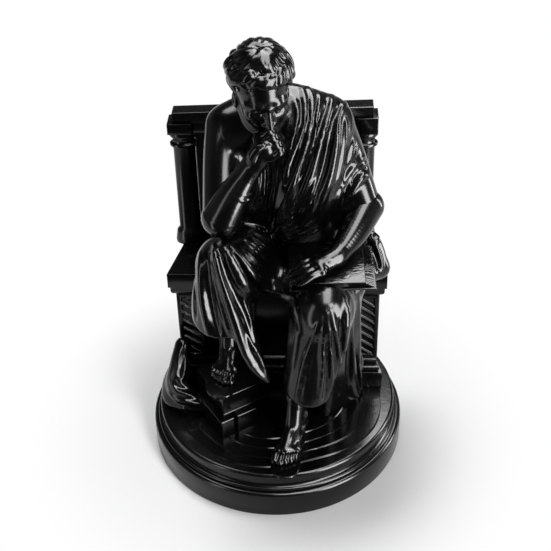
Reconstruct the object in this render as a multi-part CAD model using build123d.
"""Seated thinker on a throne and a round base, built in sections that seat on each other.

Millimetres, +Z up. The origin is the middle of the base's underside and the sitter looks along -Y.
Left and right are the sitter's own, so the sitter's left is +X.
"""
import math
import os

from build123d import *

# Base
PLINTH_RADIUS = 60.0
PLINTH_HEIGHT = 13.2
PLINTH_ROUND = 1.2
PLINTH_FOOT_BEVEL = 0.4
BEAD_RADIUS = 58.0
BEAD_HEIGHT = 1.8
bead_round_share = 0.42
STEP_RADIUS = 56.4
STEP_HEIGHT = 6.9
STEP_ROUND = 0.6
TERRACE_RISE = 0.3
TERRACE_RADII = (50.6, 44.9, 39.3, 33.6)
terrace_wave_share = -0.022
TERRACE_LOBES = 5

# Throne
SEAT_HEIGHT = 67.7
THRONE_X = 1.2
THRONE_FRONT_Y = 2.5
THRONE_TURN = -3.0
SEAT_FRONT_WIDTH = 100.0
SEAT_BACK_WIDTH = 86.0
SEAT_DEPTH = 32.0
FASCIA_HEIGHT = 7.6
OVOLO_HEIGHT = 5.5
OVOLO_INSET = 0.9
OVOLO_ROUND = 3.2
SEAT_BODY_INSET = 4.6
FOOT_HEIGHT = 9.0
FOOT_INSET = 0.4
TORUS_HEIGHT = 2.6
TORUS_INSET = 1.3
COVE_HEIGHT = 4.6
COVE_INSET = 2.8
MOULDING_ROUND = 1.2
POST_WIDTH = 13.0
POST_DEPTH = 9.0
POST_PROUD = 1.6
PANEL_BORDER = 2.2
PANEL_SINK = 0.8
FEATHER_WIDTH = 1.1
FEATHER_COUNT = 7
feather_slope = 35.0
COLUMN_HEIGHT = 58.6
COLUMN_SPREAD = 77.0
COLUMN_RADIUS = 3.3
COLUMN_SET_BACK = 28.0
COLUMN_FOOT_RADIUS = 4.7
COLUMN_FOOT_HEIGHT = 8.4
COLUMN_NECK_RADIUS = 4.2
COLUMN_NECK_HEIGHT = 7.0
CAPITAL_WIDTH = 10.0
CAPITAL_DEPTH = 9.6
CAPITAL_HEIGHT = 10.2
CAPITAL_ROUND = 0.7
CAPITAL_OUTSET = 1.0
LINTEL_SET_BACK = 2.4
LINTEL_DEPTH = 5.2
CREST_HEIGHT = 5.0
CREST_INSET = 2.2
CREST_ROUND = 0.5
BACK_THICKNESS = 2.2

# Sitter: every place is a share of the sitting height, counted from the seat
SITTING_HEIGHT = 122.0
HEAD_LENGTH = 33.0
HEAD_TILT = 30.0
HEAD_TURN = 5.0
HAND_LENGTH = 23.0
FOOT_LENGTH = 30.0
SOLE_THICKNESS = 1.6

right_shoulder_shares = (-0.172, 0.008, 0.651)
right_elbow_shares = (-0.168, -0.221, 0.421)
right_wrist_shares = (-0.083, -0.213, 0.561)
right_hand_shares = (-0.018, -0.205, 0.662)
left_shoulder_shares = (0.226, 0.016, 0.643)
left_elbow_shares = (0.328, -0.049, 0.339)
left_wrist_shares = (0.217, -0.230, 0.258)
left_hand_shares = (0.123, -0.279, 0.244)
right_hip_shares = (-0.066, 0.098, 0.102)
left_hip_shares = (0.098, 0.098, 0.093)
right_knee_shares = (-0.156, -0.238, 0.241)
left_knee_shares = (0.168, -0.295, 0.085)
head_shares = (-0.023, -0.119, 0.825)
neck_shares = (0.0, -0.035, 0.720)

# Upper body sections: height, middle across, middle fore and aft, half width, half depth
torso_section_shares = (
    (0.175, 0.020, 0.080, 0.207, 0.122),
    (0.330, 0.023, 0.042, 0.220, 0.135),
    (0.511, 0.026, 0.006, 0.236, 0.130),
    (0.640, 0.025, 0.008, 0.242, 0.107),
    (0.725, 0.041, 0.024, 0.182, 0.078),
    (0.768, 0.049, 0.032, 0.125, 0.050),
    (0.782, 0.051, 0.034, 0.050, 0.020),
)
TORSO_SIDES = 4
torso_square_share = -0.06

# Cloth: each strip is a row of places across, fore and aft and up, with a half thickness
mantle_strip_shares = (
    ((0.074, 0.041, 0.708, 0.049), (0.074, -0.057, 0.651, 0.053), (0.066, -0.107, 0.511, 0.045),
     (0.049, -0.098, 0.380, 0.045), (0.033, -0.074, 0.266, 0.041)),
    ((0.139, 0.041, 0.700, 0.057), (0.148, -0.057, 0.643, 0.057), (0.135, -0.115, 0.511, 0.045),
     (0.107, -0.098, 0.380, 0.045), (0.074, -0.074, 0.257, 0.041)),
    ((0.213, 0.033, 0.675, 0.066), (0.213, -0.049, 0.618, 0.061), (0.197, -0.098, 0.495, 0.045),
     (0.164, -0.090, 0.372, 0.045), (0.115, -0.066, 0.249, 0.041)),
)
lap_bridge_shares = ((-0.098, -0.164, 0.167, 0.066), (0.0, -0.148, 0.110, 0.066),
                     (0.107, -0.164, 0.093, 0.066))
hip_radius_share = 0.131
# Lower legs and the swag between them: heights are shares of the knee's height over the ground
right_leg_shares = ((-0.156, -0.238, 1.000, 0.098), (-0.168, -0.225, 0.876, 0.111),
                    (-0.176, -0.221, 0.763, 0.115), (-0.180, -0.221, 0.557, 0.115))
right_leg_room_shares = ((-0.180, -0.205, 0.784, 0.074), (-0.184, -0.213, 0.495, 0.094))
right_hem_shares = (-0.180, -0.336, 0.686)
right_hem_direction_shares = (0.05, 0.30, -1.0)
left_leg_shares = ((0.168, -0.287, 1.000, 0.102), (0.156, -0.287, 0.821, 0.101),
                   (0.131, -0.287, 0.590, 0.094), (0.098, -0.295, 0.283, 0.086))
left_leg_room_shares = ((0.107, -0.270, 0.513, 0.057), (0.094, -0.279, 0.232, 0.070))
left_hem_shares = (0.094, -0.377, 0.398)
left_hem_direction_shares = (-0.12, 0.28, -1.0)
swag_shares = ((-0.170, -0.311, 1.103, 0.041), (-0.148, -0.320, 0.970, 0.045), (-0.125, -0.324, 0.835, 0.041),
               (-0.102, -0.328, 0.693, 0.037), (-0.068, -0.332, 0.553, 0.029), (-0.031, -0.336, 0.443, 0.012))
# Hanging mantle and heaped cloth: heights are shares of the seat's
fall_strip_shares = (
    ((0.197, -0.238, 1.109, 0.049), (0.197, -0.205, 0.592, 0.049), (0.180, -0.115, 0.016, 0.053)),
    ((0.238, -0.205, 1.124, 0.053), (0.242, -0.164, 0.592, 0.053), (0.238, -0.066, 0.016, 0.057)),
    ((0.279, -0.164, 1.124, 0.053), (0.287, -0.107, 0.592, 0.053), (0.295, -0.025, 0.016, 0.057)),
    ((0.279, -0.148, 1.124, 0.041), (0.336, -0.082, 1.124, 0.037), (0.385, -0.033, 1.109, 0.037)),
    ((0.355, 0.0, 1.322, 0.020), (0.374, -0.008, 1.269, 0.029), (0.389, -0.025, 1.145, 0.041),
     (0.390, -0.041, 1.021, 0.037)),
)
heap_strip_shares = (
    ((-0.360, 0.016, 0.420, 0.033), (-0.373, -0.033, 0.313, 0.041), (-0.384, -0.066, 0.180, 0.045),
     (-0.339, -0.098, 0.108, 0.037), (-0.278, -0.123, 0.050, 0.020)),
    ((-0.386, 0.016, 0.236, 0.029), (-0.412, -0.016, 0.130, 0.037), (-0.412, -0.066, 0.058, 0.033),
     (-0.364, -0.115, 0.043, 0.020)),
)
PLEAT_POINTS = 28
pleat_depth_share = 0.07
LEG_PLEATS = 7

# Limb half thicknesses, as shares of the sitting height
right_arm_radius_shares = (0.088, 0.080, 0.066)
right_forearm_radius_shares = (0.062, 0.056, 0.042)
left_arm_radius_shares = (0.090, 0.078, 0.064)
left_forearm_radius_shares = (0.058, 0.052, 0.038)
thigh_radius_shares = (0.119, 0.113, 0.104)
ankle_radius_share = 0.046

# Head sections: height, middle towards the face, half width, half depth, as shares of the head's length
head_section_shares = (
    (-0.500, 0.180, 0.120, 0.110),
    (-0.420, 0.150, 0.215, 0.210),
    (-0.250, 0.080, 0.295, 0.330),
    (-0.050, 0.010, 0.330, 0.415),
    (0.140, -0.030, 0.345, 0.435),
    (0.310, -0.050, 0.315, 0.395),
    (0.420, -0.055, 0.235, 0.300),
    (0.490, -0.055, 0.100, 0.140),
)
hair_section_shares = (
    (-0.210, -0.160, 0.340, 0.270),
    (-0.060, -0.100, 0.390, 0.370),
    (0.130, -0.065, 0.400, 0.440),
    (0.310, -0.060, 0.362, 0.420),
    (0.440, -0.060, 0.270, 0.320),
    (0.520, -0.060, 0.110, 0.140),
)
HAIR_LOCKS = 14
hair_lock_share = 0.045
hair_sway_share = 0.35
HEAD_POINTS = 42
nose_shares = ((0.060, 0.395), (-0.030, 0.425), (-0.110, 0.445))
nose_radius_shares = (0.035, 0.045, 0.060)
eye_height_share = 0.035
eye_spread_share = 0.150
eye_forward_share = 0.455
eye_radius_share = 0.075
neck_radius_shares = (0.235, 0.225, 0.240)

# Hands: places along the hand, across it and off the palm, as shares of the hand's length
finger_row_shares = (-0.150, -0.050, 0.050, 0.145)
palm_half_width_share = 0.190
palm_half_depth_share = 0.105
heel_of_hand_share = 0.67
finger_radius_share = 0.047
fist_joint_shares = ((0.560, 0.060), (0.640, 0.240), (0.430, 0.310), (0.300, 0.190))
flat_joint_shares = ((0.420, 0.060), (0.640, 0.050), (0.820, 0.000), (0.960, -0.060))
thumb_joint_shares = ((0.120, 0.200), (0.320, 0.285), (0.500, 0.260))

# Feet: places along the foot, as shares of its length
foot_section_shares = (
    (0.020, 0.120, 0.150, 0.135),
    (0.200, 0.180, 0.140, 0.195),
    (0.420, 0.150, 0.160, 0.165),
    (0.640, 0.105, 0.185, 0.120),
    (0.800, 0.070, 0.190, 0.085),
)
toe_row_shares = (-0.140, -0.046, 0.032, 0.105, 0.172)
toe_reach_shares = (0.985, 0.985, 0.955, 0.915, 0.865)
toe_radius_shares = (0.050, 0.036, 0.035, 0.034, 0.031)
toe_rise_share = 0.75
sole_outline_shares = ((-0.03, 0.0), (0.08, 0.15), (0.45, 0.165), (0.75, 0.225), (0.93, 0.19), (1.05, 0.02),
                       (0.98, -0.17), (0.75, -0.215), (0.45, -0.165), (0.08, -0.15))
left_heel_shares = (0.074, -0.230)
left_toe_shares = (0.020, -0.432)
right_heel_shares = (-0.176, 0.012)
right_toe_shares = (-0.208, -0.172)
left_ankle_height_share = 0.620
right_ankle_height_share = 0.560

# Book on the lap
LAP_BOOK_WIDTH = 31.5
LAP_BOOK_DEPTH = 27.0
LAP_BOOK_THICKNESS = 5.2
LAP_BOOK_SLOPE = 8.0
LAP_BOOK_FAN = 4.5
COVER_THICKNESS = 0.9
COVER_OVERHANG = 0.8
lap_book_shares = (0.180, -0.220, 0.206)

# Books under the right foot
UPPER_BOOK_WIDTH = 22.0
UPPER_BOOK_DEPTH = 24.0
UPPER_BOOK_THICKNESS = 11.0
LOWER_BOOK_WIDTHS = (7.0, 10.4)
LOWER_BOOK_DEPTH = 24.0
LOWER_BOOK_THICKNESS = 11.2
LOWER_BOOK_GAP = 1.4
LOWER_BOOK_LEAD = 3.5
LOWER_BOOK_OUTSET = 2.8
LOWER_BOOK_ROUND = 0.6
STACK_TURN = 31.0
stack_shares = (-0.179, -0.108)

# Dowels and screws
DOWEL_RADIUS = 1.5
DOWEL_LENGTH = 8.0
SMALL_DOWEL_RADIUS = 1.0
SMALL_DOWEL_LENGTH = 5.0
DOWEL_CLEARANCE = 0.1
SCREW_RADIUS = 1.5
SCREW_LENGTH = 22.0
SCREW_HEAD_RADIUS = 3.0
SCREW_HEAD_HEIGHT = 2.4
SCREW_SINK = 0.6
SCREW_CLEARANCE = 0.2
SCREW_SPREAD = 60.0
SCREW_FRONT_Y = 10.0
SCREW_PITCH_Y = 16.0

# Pieces whose boxes meet although the pieces themselves lie apart
PIECES_APART = {
    "shoulder_mantle": ("right_forearm", "left_forearm"),
    "torso_robe": ("right_forearm", "left_forearm", "lap_book_cover", "left_capital", "right_capital"),
    "right_leg_robe": ("shoulder_mantle", "torso_robe", "right_forearm"),
    "left_leg_robe": ("shoulder_mantle", "torso_robe", "right_leg_robe"),
    "mantle_fall": ("left_foot", "shoulder_mantle", "torso_robe"),
    "ground_drape": ("right_foot", "right_sole"),
}

# Working values
RING_POINTS = 12
round_end_shares = ((0.92, 0.40), (0.60, 0.80))
GROUND_Z = PLINTH_HEIGHT + BEAD_HEIGHT + STEP_HEIGHT
SEAT_Z = GROUND_Z + SEAT_HEIGHT
STACK_TOP_Z = GROUND_Z + LOWER_BOOK_THICKNESS + UPPER_BOOK_THICKNESS
UP = Vector(0, 0, 1)


def body_point(shares):
    """Point of the sitter from its shares of the sitting height, counted from the seat."""
    return Vector(shares[0] * SITTING_HEIGHT, shares[1] * SITTING_HEIGHT, SEAT_Z + shares[2] * SITTING_HEIGHT)


def ground_point(shares, height):
    """Point over the base from its plan shares of the sitting height, at a height."""
    return Vector(shares[0] * SITTING_HEIGHT, shares[1] * SITTING_HEIGHT, height)


def ring(middle, across, along, half_across, half_along, lobes=0, lobe_share=0.0, count=RING_POINTS,
         sway=0.0):
    """Closed smooth outline round a middle, with even lobes pressed into it, turned by a sway."""
    points = []
    for step in range(count):
        turn = 2 * math.pi * step / count
        swell = 1 + lobe_share * math.cos(lobes * (turn + sway))
        side = across * (half_across * swell * math.cos(turn))
        front = along * (half_along * swell * math.sin(turn))
        points.append(middle + side + front)
    return make_face(Spline(points, periodic=True))


def frame_on(direction, reference):
    """Two unit directions square to a direction, the first square to the reference too."""
    across = direction.cross(reference).normalized()
    return across, direction.cross(across).normalized()


def squarest_axis(directions):
    """Main axis that lies furthest from all the directions."""
    axes = (Vector(1, 0, 0), Vector(0, 1, 0), UP)
    return min(axes, key=lambda axis: max(abs(axis.dot(direction)) for direction in directions))


def limb(points, radii, flat_share=1.0, reference=None, lobes=0, lobe_share=0.0, count=RING_POINTS):
    """Rounded limb through points with a half thickness at each, flattened along its second direction."""
    last = len(points) - 1
    directions = [(points[min(index + 1, last)] - points[max(index - 1, 0)]).normalized()
                  for index in range(len(points))]
    reference = reference or squarest_axis(directions)
    sections = []
    for index, (point, radius, direction) in enumerate(zip(points, radii, directions)):
        across, along = frame_on(direction, reference)
        if index == 0:
            for reach, width in round_end_shares:
                start = point - direction * (radius * reach)
                sections.append(ring(start, across, along, radius * width, radius * width * flat_share))
        sections.append(ring(point, across, along, radius, radius * flat_share, lobes, lobe_share, count))
        if index == last:
            for reach, width in reversed(round_end_shares):
                end = point + direction * (radius * reach)
                sections.append(ring(end, across, along, radius * width, radius * width * flat_share))
    return loft(sections)


def strip(shares, foot, height, lobes=0, lobe_share=0.0, count=RING_POINTS):
    """Limb whose places are shares of the sitting height, with heights as shares of a height above a foot."""
    points = [ground_point(place, foot + place[2] * height) for place in shares]
    radii = [place[3] * SITTING_HEIGHT for place in shares]
    return limb(points, radii, lobes=lobes, lobe_share=lobe_share, count=count)


def strips(table, foot, height):
    """Strips of cloth grown together."""
    made = [strip(shares, foot, height) for shares in table]
    cloth = made[0]
    for other in made[1:]:
        cloth = cloth + other
    return cloth


def upright(section_shares, foot, height, lobes=0, lobe_share=0.0, count=RING_POINTS):
    """Loft through level sections whose heights are shares of a height above a foot."""
    across = Vector(1, 0, 0)
    along = Vector(0, 1, 0)
    sections = []
    for level, x_share, y_share, half_width, half_depth in section_shares:
        middle = ground_point((x_share, y_share), foot + level * height)
        sections.append(ring(middle, across, along, half_width * SITTING_HEIGHT, half_depth * SITTING_HEIGHT,
                             lobes, lobe_share, count))
    return loft(sections)


def between(first, second, share):
    """Point part of the way from one point to another."""
    return first + (second - first) * share


def box_on(width, depth, height):
    """Box standing on its own underside, middle at the origin."""
    return Pos(0, 0, height / 2) * Box(width, depth, height)


def disc_profile(points):
    """Solid of revolution from points given as radius and height."""
    outline = make_face(Polyline([(radius, 0, height) for radius, height in points], close=True))
    return revolve(outline, axis=Axis.Z)


def seat_plan(inset):
    """Outline of the seat, narrower behind, drawn in by an inset on every side."""
    front = SEAT_FRONT_WIDTH / 2 - inset
    back = SEAT_BACK_WIDTH / 2 - inset
    return make_face(Polyline([(-front, inset), (front, inset), (back, SEAT_DEPTH - inset),
                               (-back, SEAT_DEPTH - inset)], close=True))


def seat_slab(inset, foot, height):
    """Slab of the seat's plan between two heights."""
    return Pos(0, 0, foot) * extrude(seat_plan(inset), amount=height)


def on_throne(shape):
    """Piece drawn in the throne's own frame, set on the base."""
    return Location((THRONE_X, THRONE_FRONT_Y, GROUND_Z), (0, 0, THRONE_TURN)) * shape


def make_base():
    """Lower disc, bead and upper tier, with holes for the screws."""
    rim = PLINTH_RADIUS - PLINTH_ROUND
    plinth = disc_profile([(0, 0), (PLINTH_RADIUS - PLINTH_FOOT_BEVEL, 0), (PLINTH_RADIUS, PLINTH_FOOT_BEVEL),
                           (PLINTH_RADIUS, PLINTH_HEIGHT), (0, PLINTH_HEIGHT)])
    top_edge = plinth.edges().filter_by(GeomType.CIRCLE).sort_by(Axis.Z)[-1]
    plinth = fillet(top_edge, PLINTH_ROUND)
    step_foot = PLINTH_HEIGHT + BEAD_HEIGHT
    bead_reach = min(BEAD_RADIUS, rim)
    bead = disc_profile([(0, PLINTH_HEIGHT), (bead_reach, PLINTH_HEIGHT), (bead_reach, step_foot),
                         (0, step_foot)])
    bead_edges = bead.edges().filter_by(GeomType.CIRCLE).group_by(SortBy.RADIUS)[-1]
    bead = fillet(bead_edges, BEAD_HEIGHT * bead_round_share)
    step = disc_profile([(0, step_foot), (STEP_RADIUS, step_foot), (STEP_RADIUS, GROUND_Z), (0, GROUND_Z)])
    rim_edge = step.edges().filter_by(GeomType.CIRCLE).sort_by(Axis.Z)[-1]
    step = fillet(rim_edge, STEP_ROUND)
    return plinth, bead, step


def make_ground():
    """Four stacked terraces with gently waved outlines."""
    layers = None
    for level, radius in enumerate(TERRACE_RADII):
        middle = Vector(0, 0, GROUND_Z + level * TERRACE_RISE)
        outline = ring(middle, Vector(1, 0, 0), Vector(0, 1, 0), radius, radius, TERRACE_LOBES,
                       terrace_wave_share, PLEAT_POINTS)
        layer = extrude(outline, amount=TERRACE_RISE, dir=(0, 0, 1))
        layers = layer if layers is None else layers + layer
    return layers


def make_seat():
    """Moulded foot, body, corner posts and ledge of the seat, in the throne's frame."""
    foot = seat_slab(FOOT_INSET, 0, FOOT_HEIGHT)
    torus = seat_slab(FOOT_INSET + TORUS_INSET, FOOT_HEIGHT, TORUS_HEIGHT)
    torus = fillet(torus.edges().filter_by(Axis.Z, reverse=True), MOULDING_ROUND)
    cove_foot = FOOT_HEIGHT + TORUS_HEIGHT
    cove = seat_slab(FOOT_INSET + COVE_INSET, cove_foot, COVE_HEIGHT)
    cove = chamfer(cove.faces().sort_by(Axis.Z)[-1].edges(), MOULDING_ROUND)
    plinth = foot + torus + cove
    body_foot = cove_foot + COVE_HEIGHT
    ledge_foot = SEAT_HEIGHT - FASCIA_HEIGHT - OVOLO_HEIGHT
    body = seat_slab(SEAT_BODY_INSET, body_foot, ledge_foot - body_foot)
    ovolo = seat_slab(OVOLO_INSET, ledge_foot, OVOLO_HEIGHT)
    ovolo = fillet(ovolo.faces().sort_by(Axis.Z)[0].edges(), OVOLO_ROUND)
    ledge = ovolo + seat_slab(0, SEAT_HEIGHT - FASCIA_HEIGHT, FASCIA_HEIGHT)
    posts = []
    for side in (-1, 1):
        middle_x = side * (SEAT_FRONT_WIDTH / 2 - SEAT_BODY_INSET - POST_WIDTH / 2 + POST_PROUD)
        middle_y = SEAT_BODY_INSET - POST_PROUD + POST_DEPTH / 2
        post = Pos(middle_x, middle_y, body_foot) * box_on(POST_WIDTH, POST_DEPTH, ledge_foot - body_foot)
        post = sink_panel(post, middle_x, middle_y, body_foot, ledge_foot)
        posts.append(post)
    return plinth, body, posts[0], posts[1], ledge


def sink_panel(post, middle_x, middle_y, foot, head):
    """Sunk front panel of a post, with slanting feather ribs left standing in it."""
    width = POST_WIDTH - 2 * PANEL_BORDER
    height = head - foot - 2 * PANEL_BORDER
    front = middle_y - POST_DEPTH / 2
    sill = foot + PANEL_BORDER
    panel = Pos(middle_x, front, sill) * box_on(width, 2 * PANEL_SINK, height)
    pitch = height / FEATHER_COUNT
    for step in range(FEATHER_COUNT):
        rib = Box(2 * POST_WIDTH, 2 * PANEL_SINK, FEATHER_WIDTH)
        place = Pos(middle_x, front + PANEL_SINK, sill + (step + 1 / 2) * pitch)
        panel = panel - place * Rot(0, feather_slope, 0) * rib
    return post - panel


def make_column(side):
    """Round column with a flared foot and a ringed neck, in the throne's frame."""
    neck_foot = COLUMN_HEIGHT - COLUMN_NECK_HEIGHT
    ring_height = COLUMN_NECK_HEIGHT / 4
    outline = [(0, 0), (COLUMN_FOOT_RADIUS, 0), (COLUMN_FOOT_RADIUS, ring_height),
               (COLUMN_RADIUS + ring_height / 2, COLUMN_FOOT_HEIGHT - ring_height),
               (COLUMN_RADIUS, COLUMN_FOOT_HEIGHT), (COLUMN_RADIUS, neck_foot),
               (COLUMN_NECK_RADIUS, neck_foot), (COLUMN_NECK_RADIUS, neck_foot + ring_height),
               (COLUMN_RADIUS, neck_foot + ring_height), (COLUMN_RADIUS, neck_foot + 2 * ring_height),
               (COLUMN_NECK_RADIUS, COLUMN_HEIGHT - ring_height), (COLUMN_NECK_RADIUS, COLUMN_HEIGHT),
               (0, COLUMN_HEIGHT)]
    return Pos(side * COLUMN_SPREAD / 2, COLUMN_SET_BACK, SEAT_HEIGHT) * disc_profile(outline)


def make_back():
    """Panel, columns, capitals, lintel and crest of the throne's back, in the throne's frame."""
    columns = [make_column(-1), make_column(1)]
    beam_foot = SEAT_HEIGHT + COLUMN_HEIGHT
    capitals = []
    for side in (-1, 1):
        place = Pos(side * (COLUMN_SPREAD / 2 + CAPITAL_OUTSET), COLUMN_SET_BACK, beam_foot)
        block = place * box_on(CAPITAL_WIDTH, CAPITAL_DEPTH, CAPITAL_HEIGHT)
        capitals.append(chamfer(block.faces().sort_by(Axis.Z)[0].edges(), CAPITAL_ROUND))
    inner = COLUMN_SPREAD + 2 * CAPITAL_OUTSET - CAPITAL_WIDTH
    beam_front = COLUMN_SET_BACK - CAPITAL_DEPTH / 2 + LINTEL_SET_BACK
    lintel = Pos(0, beam_front + LINTEL_DEPTH / 2, beam_foot) * box_on(inner, LINTEL_DEPTH, CAPITAL_HEIGHT)
    crest_width = COLUMN_SPREAD + 2 * CAPITAL_OUTSET + CAPITAL_WIDTH - 2 * CREST_INSET
    crest = box_on(crest_width, CAPITAL_DEPTH - CREST_INSET, CREST_HEIGHT)
    crest = Pos(0, COLUMN_SET_BACK, beam_foot + CAPITAL_HEIGHT) * crest
    crest = fillet(crest.faces().sort_by(Axis.Z)[-1].edges(), CREST_ROUND)
    panel_width = COLUMN_SPREAD - 2 * COLUMN_FOOT_RADIUS
    panel = box_on(panel_width, BACK_THICKNESS, COLUMN_HEIGHT)
    panel = Pos(0, beam_front + LINTEL_DEPTH / 2, SEAT_HEIGHT) * panel
    return panel, columns, capitals, lintel, crest


def head_frame():
    """Middle of the head and its side, face and crown directions."""
    tilt = math.radians(HEAD_TILT)
    side = Vector(1, 0, 0).rotate(Axis.Z, HEAD_TURN)
    crown = Vector(0, -math.sin(tilt), math.cos(tilt)).rotate(Axis.Z, HEAD_TURN)
    return body_point(head_shares), side, crown.cross(side) * -1, crown


def make_head():
    """Skull, hair cap with waved locks, nose, eye hollows and neck."""
    middle, side, face, crown = head_frame()
    skull_rings = []
    for level, forward, half_width, half_depth in head_section_shares:
        centre = middle + (crown * level + face * forward) * HEAD_LENGTH
        skull_rings.append(ring(centre, side, face, half_width * HEAD_LENGTH, half_depth * HEAD_LENGTH))
    hair_rings = []
    for tier, (level, forward, half_width, half_depth) in enumerate(hair_section_shares):
        centre = middle + (crown * level + face * forward) * HEAD_LENGTH
        sway = hair_sway_share * (tier % 2) * math.pi / HAIR_LOCKS
        hair_rings.append(ring(centre, side, face, half_width * HEAD_LENGTH, half_depth * HEAD_LENGTH,
                               HAIR_LOCKS, hair_lock_share, HEAD_POINTS, sway))
    head = loft(skull_rings) + loft(hair_rings)
    nose_points = [middle + (crown * level + face * forward) * HEAD_LENGTH for level, forward in nose_shares]
    head = head + limb(nose_points, [share * HEAD_LENGTH for share in nose_radius_shares], reference=side)
    for hand in (-1, 1):
        eye_shares = crown * eye_height_share + face * eye_forward_share + side * (hand * eye_spread_share)
        eye = middle + eye_shares * HEAD_LENGTH
        head = head - Pos(eye) * Sphere(eye_radius_share * HEAD_LENGTH)
    neck_foot = body_point(neck_shares)
    neck_points = [neck_foot, between(neck_foot, middle, 1 / 2), middle]
    return head + limb(neck_points, [share * HEAD_LENGTH for share in neck_radius_shares], reference=side)


def make_hand(wrist, knuckles, palm_side, joint_shares):
    """Palm, four fingers and a thumb, along the line from the wrist to the knuckles."""
    forward = (knuckles - wrist).normalized()
    across = forward.cross(palm_side).normalized()
    off = across.cross(forward).normalized()
    reach = HAND_LENGTH * joint_shares[0][0]
    palm_points = [wrist, between(wrist, wrist + forward * reach, 1 / 2), wrist + forward * reach]
    half_width = palm_half_width_share * HAND_LENGTH
    flat = palm_half_depth_share / palm_half_width_share
    hand = limb(palm_points, [half_width * heel_of_hand_share, half_width, half_width], flat, reference=off)
    radius = finger_radius_share * HAND_LENGTH
    for row in finger_row_shares:
        points = [wrist + (forward * along + across * row + off * lift) * HAND_LENGTH
                  for along, lift in joint_shares]
        hand = hand + limb(points, [radius] * len(points), reference=across)
    thumb = [wrist + (forward * along - across * out) * HAND_LENGTH for along, out in thumb_joint_shares]
    return hand + limb(thumb, [radius] * len(thumb), reference=off)


def make_arm(start, end, radius_shares):
    """Sleeve or forearm between two joints, thickest near the first."""
    points = [start, between(start, end, 1 / 2), end]
    return limb(points, [share * SITTING_HEIGHT for share in radius_shares])


def make_thighs():
    """Hips, thighs and the cloth that spans them, cut off at the waist."""
    right = [body_point(right_hip_shares), body_point(right_knee_shares)]
    left = [body_point(left_hip_shares), body_point(left_knee_shares)]
    radii = [share * SITTING_HEIGHT for share in thigh_radius_shares]
    right_thigh = limb([right[0], between(right[0], right[1], 1 / 2), right[1]], radii)
    left_thigh = limb([left[0], between(left[0], left[1], 1 / 2), left[1]], radii)
    hip_radius = hip_radius_share * SITTING_HEIGHT
    seat_of_robe = limb([right[0], between(right[0], left[0], 1 / 2), left[0]], [hip_radius] * 3)
    bridge = strip(lap_bridge_shares, SEAT_Z, SITTING_HEIGHT)
    waist = torso_section_shares[0]
    hips_shares = ((0.0, *waist[1:]), waist)
    hips = upright(hips_shares, SEAT_Z, SITTING_HEIGHT, TORSO_SIDES, torso_square_share)
    return right_thigh + left_thigh + seat_of_robe + bridge + hips


def make_leg_robe(leg_shares, room_shares, hem_shares, hem_direction_shares, rise):
    """Pleated cloth hanging from a knee, open at its slanting hem."""
    cloth = strip(leg_shares, GROUND_Z, rise, LEG_PLEATS, pleat_depth_share, PLEAT_POINTS)
    cloth = cloth - strip(room_shares, GROUND_Z, rise)
    hem = ground_point(hem_shares, GROUND_Z + hem_shares[2] * rise)
    return split(cloth, Plane(hem, z_dir=hem_direction_shares), keep=Keep.BOTTOM)


def make_foot(heel_shares, toe_shares, floor, ankle):
    """Bare foot with five toes and an ankle, and the sole under it."""
    heel = ground_point(heel_shares, floor)
    toe = ground_point(toe_shares, floor)
    forward = (toe - heel).normalized()
    across = forward.cross(UP)
    sole_points = [heel + (forward * along + across * out) * FOOT_LENGTH
                   for along, out in sole_outline_shares]
    sole = extrude(make_face(Spline(sole_points, periodic=True)), amount=SOLE_THICKNESS, dir=(0, 0, 1))
    base = heel + UP * SOLE_THICKNESS
    sections = []
    for along, lift, half_width, half_height in foot_section_shares:
        centre = base + (forward * along + UP * lift) * FOOT_LENGTH
        sections.append(ring(centre, across, UP, half_width * FOOT_LENGTH, half_height * FOOT_LENGTH))
    foot = loft(sections)
    root = foot_section_shares[-1]
    for row, reach, thick in zip(toe_row_shares, toe_reach_shares, toe_radius_shares):
        radius = thick * FOOT_LENGTH
        knuckle = base + (forward * root[0] + across * row + UP * root[1]) * FOOT_LENGTH
        tip = base + (forward * (reach - thick) + across * row + UP * (thick * toe_rise_share)) * FOOT_LENGTH
        foot = foot + limb([knuckle, between(knuckle, tip, 1 / 2), tip], [radius] * 3)
    arch = base + (forward * foot_section_shares[1][0] + UP * foot_section_shares[1][1]) * FOOT_LENGTH
    radius = ankle_radius_share * SITTING_HEIGHT
    shin = limb([arch, between(arch, ankle, 1 / 2), ankle], [radius] * 3, reference=across)
    return split(foot + shin, Plane(base), keep=Keep.TOP), sole


def make_drapes():
    """Hanging mantle with its end over the ledge, and the heap on the ground, both flat underneath."""
    ground = Plane((0, 0, GROUND_Z))
    fall = strips(fall_strip_shares, GROUND_Z, SEAT_HEIGHT)
    heap = strips(heap_strip_shares, GROUND_Z, SEAT_HEIGHT)
    return split(fall, ground, keep=Keep.TOP), split(heap, ground, keep=Keep.TOP)


def make_book(width, depth, thickness, fan=0.0):
    """Hard cover with a spine, open on three sides, and the page block inside it, its foot fanned out."""
    pages_height = thickness - 2 * COVER_THICKNESS
    room = Pos(COVER_THICKNESS, 0, COVER_THICKNESS) * box_on(width, 2 * depth, pages_height)
    lower_board = Pos(fan / 2, 0, 0) * box_on(width + fan, depth, COVER_THICKNESS)
    cover = box_on(width, depth, thickness) - room + lower_board
    spine = COVER_THICKNESS - width / 2
    edge = width / 2 - COVER_OVERHANG
    pages_top = thickness - COVER_THICKNESS
    outline = make_face(Polyline([(spine, 0, COVER_THICKNESS), (edge + fan, 0, COVER_THICKNESS),
                                  (edge, 0, pages_top), (spine, 0, pages_top)], close=True))
    block = extrude(outline, amount=depth / 2 - COVER_OVERHANG, dir=(0, 1, 0), both=True)
    return cover, block


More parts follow.
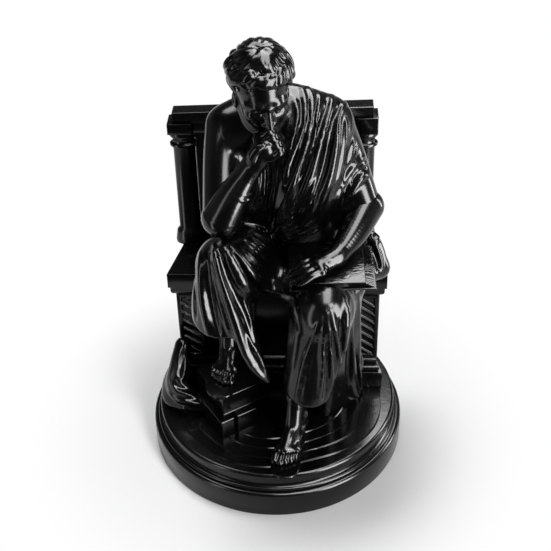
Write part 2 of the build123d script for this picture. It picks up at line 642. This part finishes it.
def make_books():
    """Book on the lap, and the stack under the right foot."""
    lap_cover, lap_pages = make_book(LAP_BOOK_WIDTH, LAP_BOOK_DEPTH, LAP_BOOK_THICKNESS, LAP_BOOK_FAN)
    lap_middle = body_point(lap_book_shares)
    lap_foot = lap_middle - UP * LAP_BOOK_THICKNESS
    lap_place = Location(lap_foot, (LAP_BOOK_SLOPE, 0, 0))
    upper_cover, upper_pages = make_book(UPPER_BOOK_WIDTH, UPPER_BOOK_DEPTH, UPPER_BOOK_THICKNESS)
    stack = ground_point(stack_shares, GROUND_Z)
    upper_place = Location((stack.X, stack.Y, GROUND_Z + LOWER_BOOK_THICKNESS), (0, 0, STACK_TURN))
    lower_place = Location((stack.X, stack.Y, GROUND_Z), (0, 0, STACK_TURN))
    lowers = []
    reach = -UPPER_BOOK_WIDTH / 2 - LOWER_BOOK_OUTSET
    for width in LOWER_BOOK_WIDTHS:
        book = box_on(width, LOWER_BOOK_DEPTH, LOWER_BOOK_THICKNESS)
        book = fillet(book.edges().filter_by(Axis.Z), LOWER_BOOK_ROUND)
        lowers.append(lower_place * Pos(reach + width / 2, -LOWER_BOOK_LEAD, 0) * book)
        reach = reach + width + LOWER_BOOK_GAP
    return (lap_place * lap_cover, lap_place * lap_pages, upper_place * upper_cover,
            upper_place * upper_pages, lowers[0], lowers[1])


def pin_across(middle, radius, length):
    """Upright round pin through a level seam, middle in the seam."""
    return Pos(middle) * Cylinder(radius, length)


def add_dowels(pieces):
    """Round dowels across the seams, each in a clear hole in both of its pieces."""
    neck = body_point(neck_shares)
    column_foot = on_throne(Pos(COLUMN_SPREAD / 2, COLUMN_SET_BACK, SEAT_HEIGHT)).position
    other_foot = on_throne(Pos(-COLUMN_SPREAD / 2, COLUMN_SET_BACK, SEAT_HEIGHT)).position
    rise = UP * COLUMN_HEIGHT
    lift = UP * CAPITAL_HEIGHT
    small = (SMALL_DOWEL_RADIUS, SMALL_DOWEL_LENGTH)
    seams = (
        (neck, DOWEL_RADIUS, DOWEL_LENGTH, ("head", "torso_robe")),
        (column_foot, *small, ("left_column", "seat_ledge")),
        (other_foot, *small, ("right_column", "seat_ledge")),
        (column_foot + rise, *small, ("left_column", "left_capital")),
        (other_foot + rise, *small, ("right_column", "right_capital")),
        (column_foot + rise + lift, *small, ("left_capital", "crest_slab")),
        (other_foot + rise + lift, *small, ("right_capital", "crest_slab")),
    )
    pins = []
    for start, radius, length, seated in seams:
        pins.append(pin_across(start, radius, length))
        hole = pin_across(start, radius + DOWEL_CLEARANCE, length + 2 * DOWEL_CLEARANCE)
        for name in seated:
            pieces[name] = pieces[name] - hole
    pieces["dowel_pins"] = Compound(children=pins)


def add_screws(pieces):
    """Four screws from below, through the base into the throne's foot."""
    shank_top = SCREW_SINK + SCREW_HEAD_HEIGHT + SCREW_LENGTH
    screws = []
    for side in (-1, 1):
        for row in (0, 1):
            spot = on_throne(Pos(side * SCREW_SPREAD / 2, SCREW_FRONT_Y + row * SCREW_PITCH_Y, 0)).position
            place = Pos(spot.X, spot.Y, 0)
            head_middle = SCREW_SINK + SCREW_HEAD_HEIGHT / 2
            head = Pos(0, 0, head_middle) * Cylinder(SCREW_HEAD_RADIUS, SCREW_HEAD_HEIGHT)
            shank = Pos(0, 0, shank_top / 2 + SCREW_SINK / 2) * Cylinder(SCREW_RADIUS, shank_top - SCREW_SINK)
            screws.append(place * (head + shank))
            bore_radius = SCREW_HEAD_RADIUS + SCREW_CLEARANCE
            bore = place * Cylinder(bore_radius, 2 * (SCREW_SINK + SCREW_HEAD_HEIGHT))
            hole = place * Cylinder(SCREW_RADIUS + SCREW_CLEARANCE, 2 * (shank_top + SCREW_CLEARANCE))
            for name in ("plinth_disc", "bead_ring", "step_drum", "throne_plinth"):
                pieces[name] = pieces[name] - hole
            pieces["plinth_disc"] = pieces["plinth_disc"] - bore
    pieces["base_screws"] = Compound(children=screws)


def build_pieces():
    """All pieces as drawn, before neighbours are cut clear of each other."""
    pieces = {}
    pieces["plinth_disc"], pieces["bead_ring"], pieces["step_drum"] = make_base()
    names = ("throne_plinth", "seat_block", "right_post", "left_post", "seat_ledge")
    for name, shape in zip(names, make_seat()):
        pieces[name] = on_throne(shape)
    panel, columns, capitals, lintel, crest = make_back()
    pieces["back_panel"] = on_throne(panel)
    pieces["right_column"], pieces["left_column"] = [on_throne(shape) for shape in columns]
    pieces["right_capital"], pieces["left_capital"] = [on_throne(shape) for shape in capitals]
    pieces["lintel"] = on_throne(lintel)
    pieces["crest_slab"] = on_throne(crest)
    book_names = ("lap_book_cover", "lap_book_pages", "upper_book_cover", "upper_book_pages",
                  "right_lower_book", "left_lower_book")
    for name, shape in zip(book_names, make_books()):
        pieces[name] = shape
    right_rise = body_point(right_knee_shares).Z - GROUND_Z
    left_rise = body_point(left_knee_shares).Z - GROUND_Z
    left_ankle = ground_point(left_heel_shares, GROUND_Z + left_ankle_height_share * FOOT_LENGTH)
    right_ankle = ground_point(right_heel_shares, STACK_TOP_Z + right_ankle_height_share * FOOT_LENGTH)
    pieces["left_foot"], pieces["left_sole"] = make_foot(left_heel_shares, left_toe_shares, GROUND_Z,
                                                         left_ankle)
    pieces["right_foot"], pieces["right_sole"] = make_foot(right_heel_shares, right_toe_shares, STACK_TOP_Z,
                                                           right_ankle)
    pieces["head"] = make_head()
    right_wrist = body_point(right_wrist_shares)
    right_hand = body_point(right_hand_shares)
    left_wrist = body_point(left_wrist_shares)
    left_hand = body_point(left_hand_shares)
    right_elbow = body_point(right_elbow_shares)
    left_elbow = body_point(left_elbow_shares)
    right_fist = make_hand(right_wrist, right_hand, Vector(1, 0, 0), fist_joint_shares)
    left_palm = make_hand(left_wrist, left_hand, UP, flat_joint_shares)
    pieces["right_forearm"] = make_arm(right_elbow, right_wrist, right_forearm_radius_shares) + right_fist
    pieces["left_forearm"] = make_arm(left_elbow, left_wrist, left_forearm_radius_shares) + left_palm
    right_shoulder = body_point(right_shoulder_shares)
    left_shoulder = body_point(left_shoulder_shares)
    pieces["right_upper_arm"] = make_arm(right_shoulder, right_elbow, right_arm_radius_shares)
    pieces["left_upper_arm"] = make_arm(left_shoulder, left_elbow, left_arm_radius_shares)
    pieces["shoulder_mantle"] = strips(mantle_strip_shares, SEAT_Z, SITTING_HEIGHT)
    pieces["torso_robe"] = upright(torso_section_shares, SEAT_Z, SITTING_HEIGHT, TORSO_SIDES,
                                   torso_square_share)
    pieces["centre_swag"] = strip(swag_shares, GROUND_Z, right_rise)
    pieces["lap_robe"] = make_thighs()
    pieces["right_leg_robe"] = make_leg_robe(right_leg_shares, right_leg_room_shares, right_hem_shares,
                                             right_hem_direction_shares, right_rise)
    pieces["left_leg_robe"] = make_leg_robe(left_leg_shares, left_leg_room_shares, left_hem_shares,
                                            left_hem_direction_shares, left_rise)
    pieces["mantle_fall"], pieces["ground_drape"] = make_drapes()
    pieces["ground_slab"] = make_ground()
    return pieces


def cut_clear(pieces):
    """Cut every later piece clear of the earlier ones that it runs into, largest solid kept."""
    names = list(pieces)
    boxes = {name: shape.bounding_box(optimal=False) for name, shape in pieces.items()}
    for index, name in enumerate(names):
        shape = pieces[name]
        for other in names[:index]:
            if other not in PIECES_APART.get(name, ()) and boxes_meet(boxes[name], boxes[other]):
                shape = shape - pieces[other]
        pieces[name] = max(shape.solids(), key=lambda solid: solid.volume)
    return pieces


def boxes_meet(first, second):
    """True where two boxes share room."""
    return all(low_a < high_b and low_b < high_a for low_a, high_a, low_b, high_b in (
        (first.min.X, first.max.X, second.min.X, second.max.X),
        (first.min.Y, first.max.Y, second.min.Y, second.max.Y),
        (first.min.Z, first.max.Z, second.min.Z, second.max.Z)))


def main():
    """Build, cut clear and write one STEP file for each piece."""
    os.makedirs("parts", exist_ok=True)
    pieces = cut_clear(build_pieces())
    add_dowels(pieces)
    add_screws(pieces)
    for name, shape in pieces.items():
        export_step(shape, f"parts/{name}.step")


main()
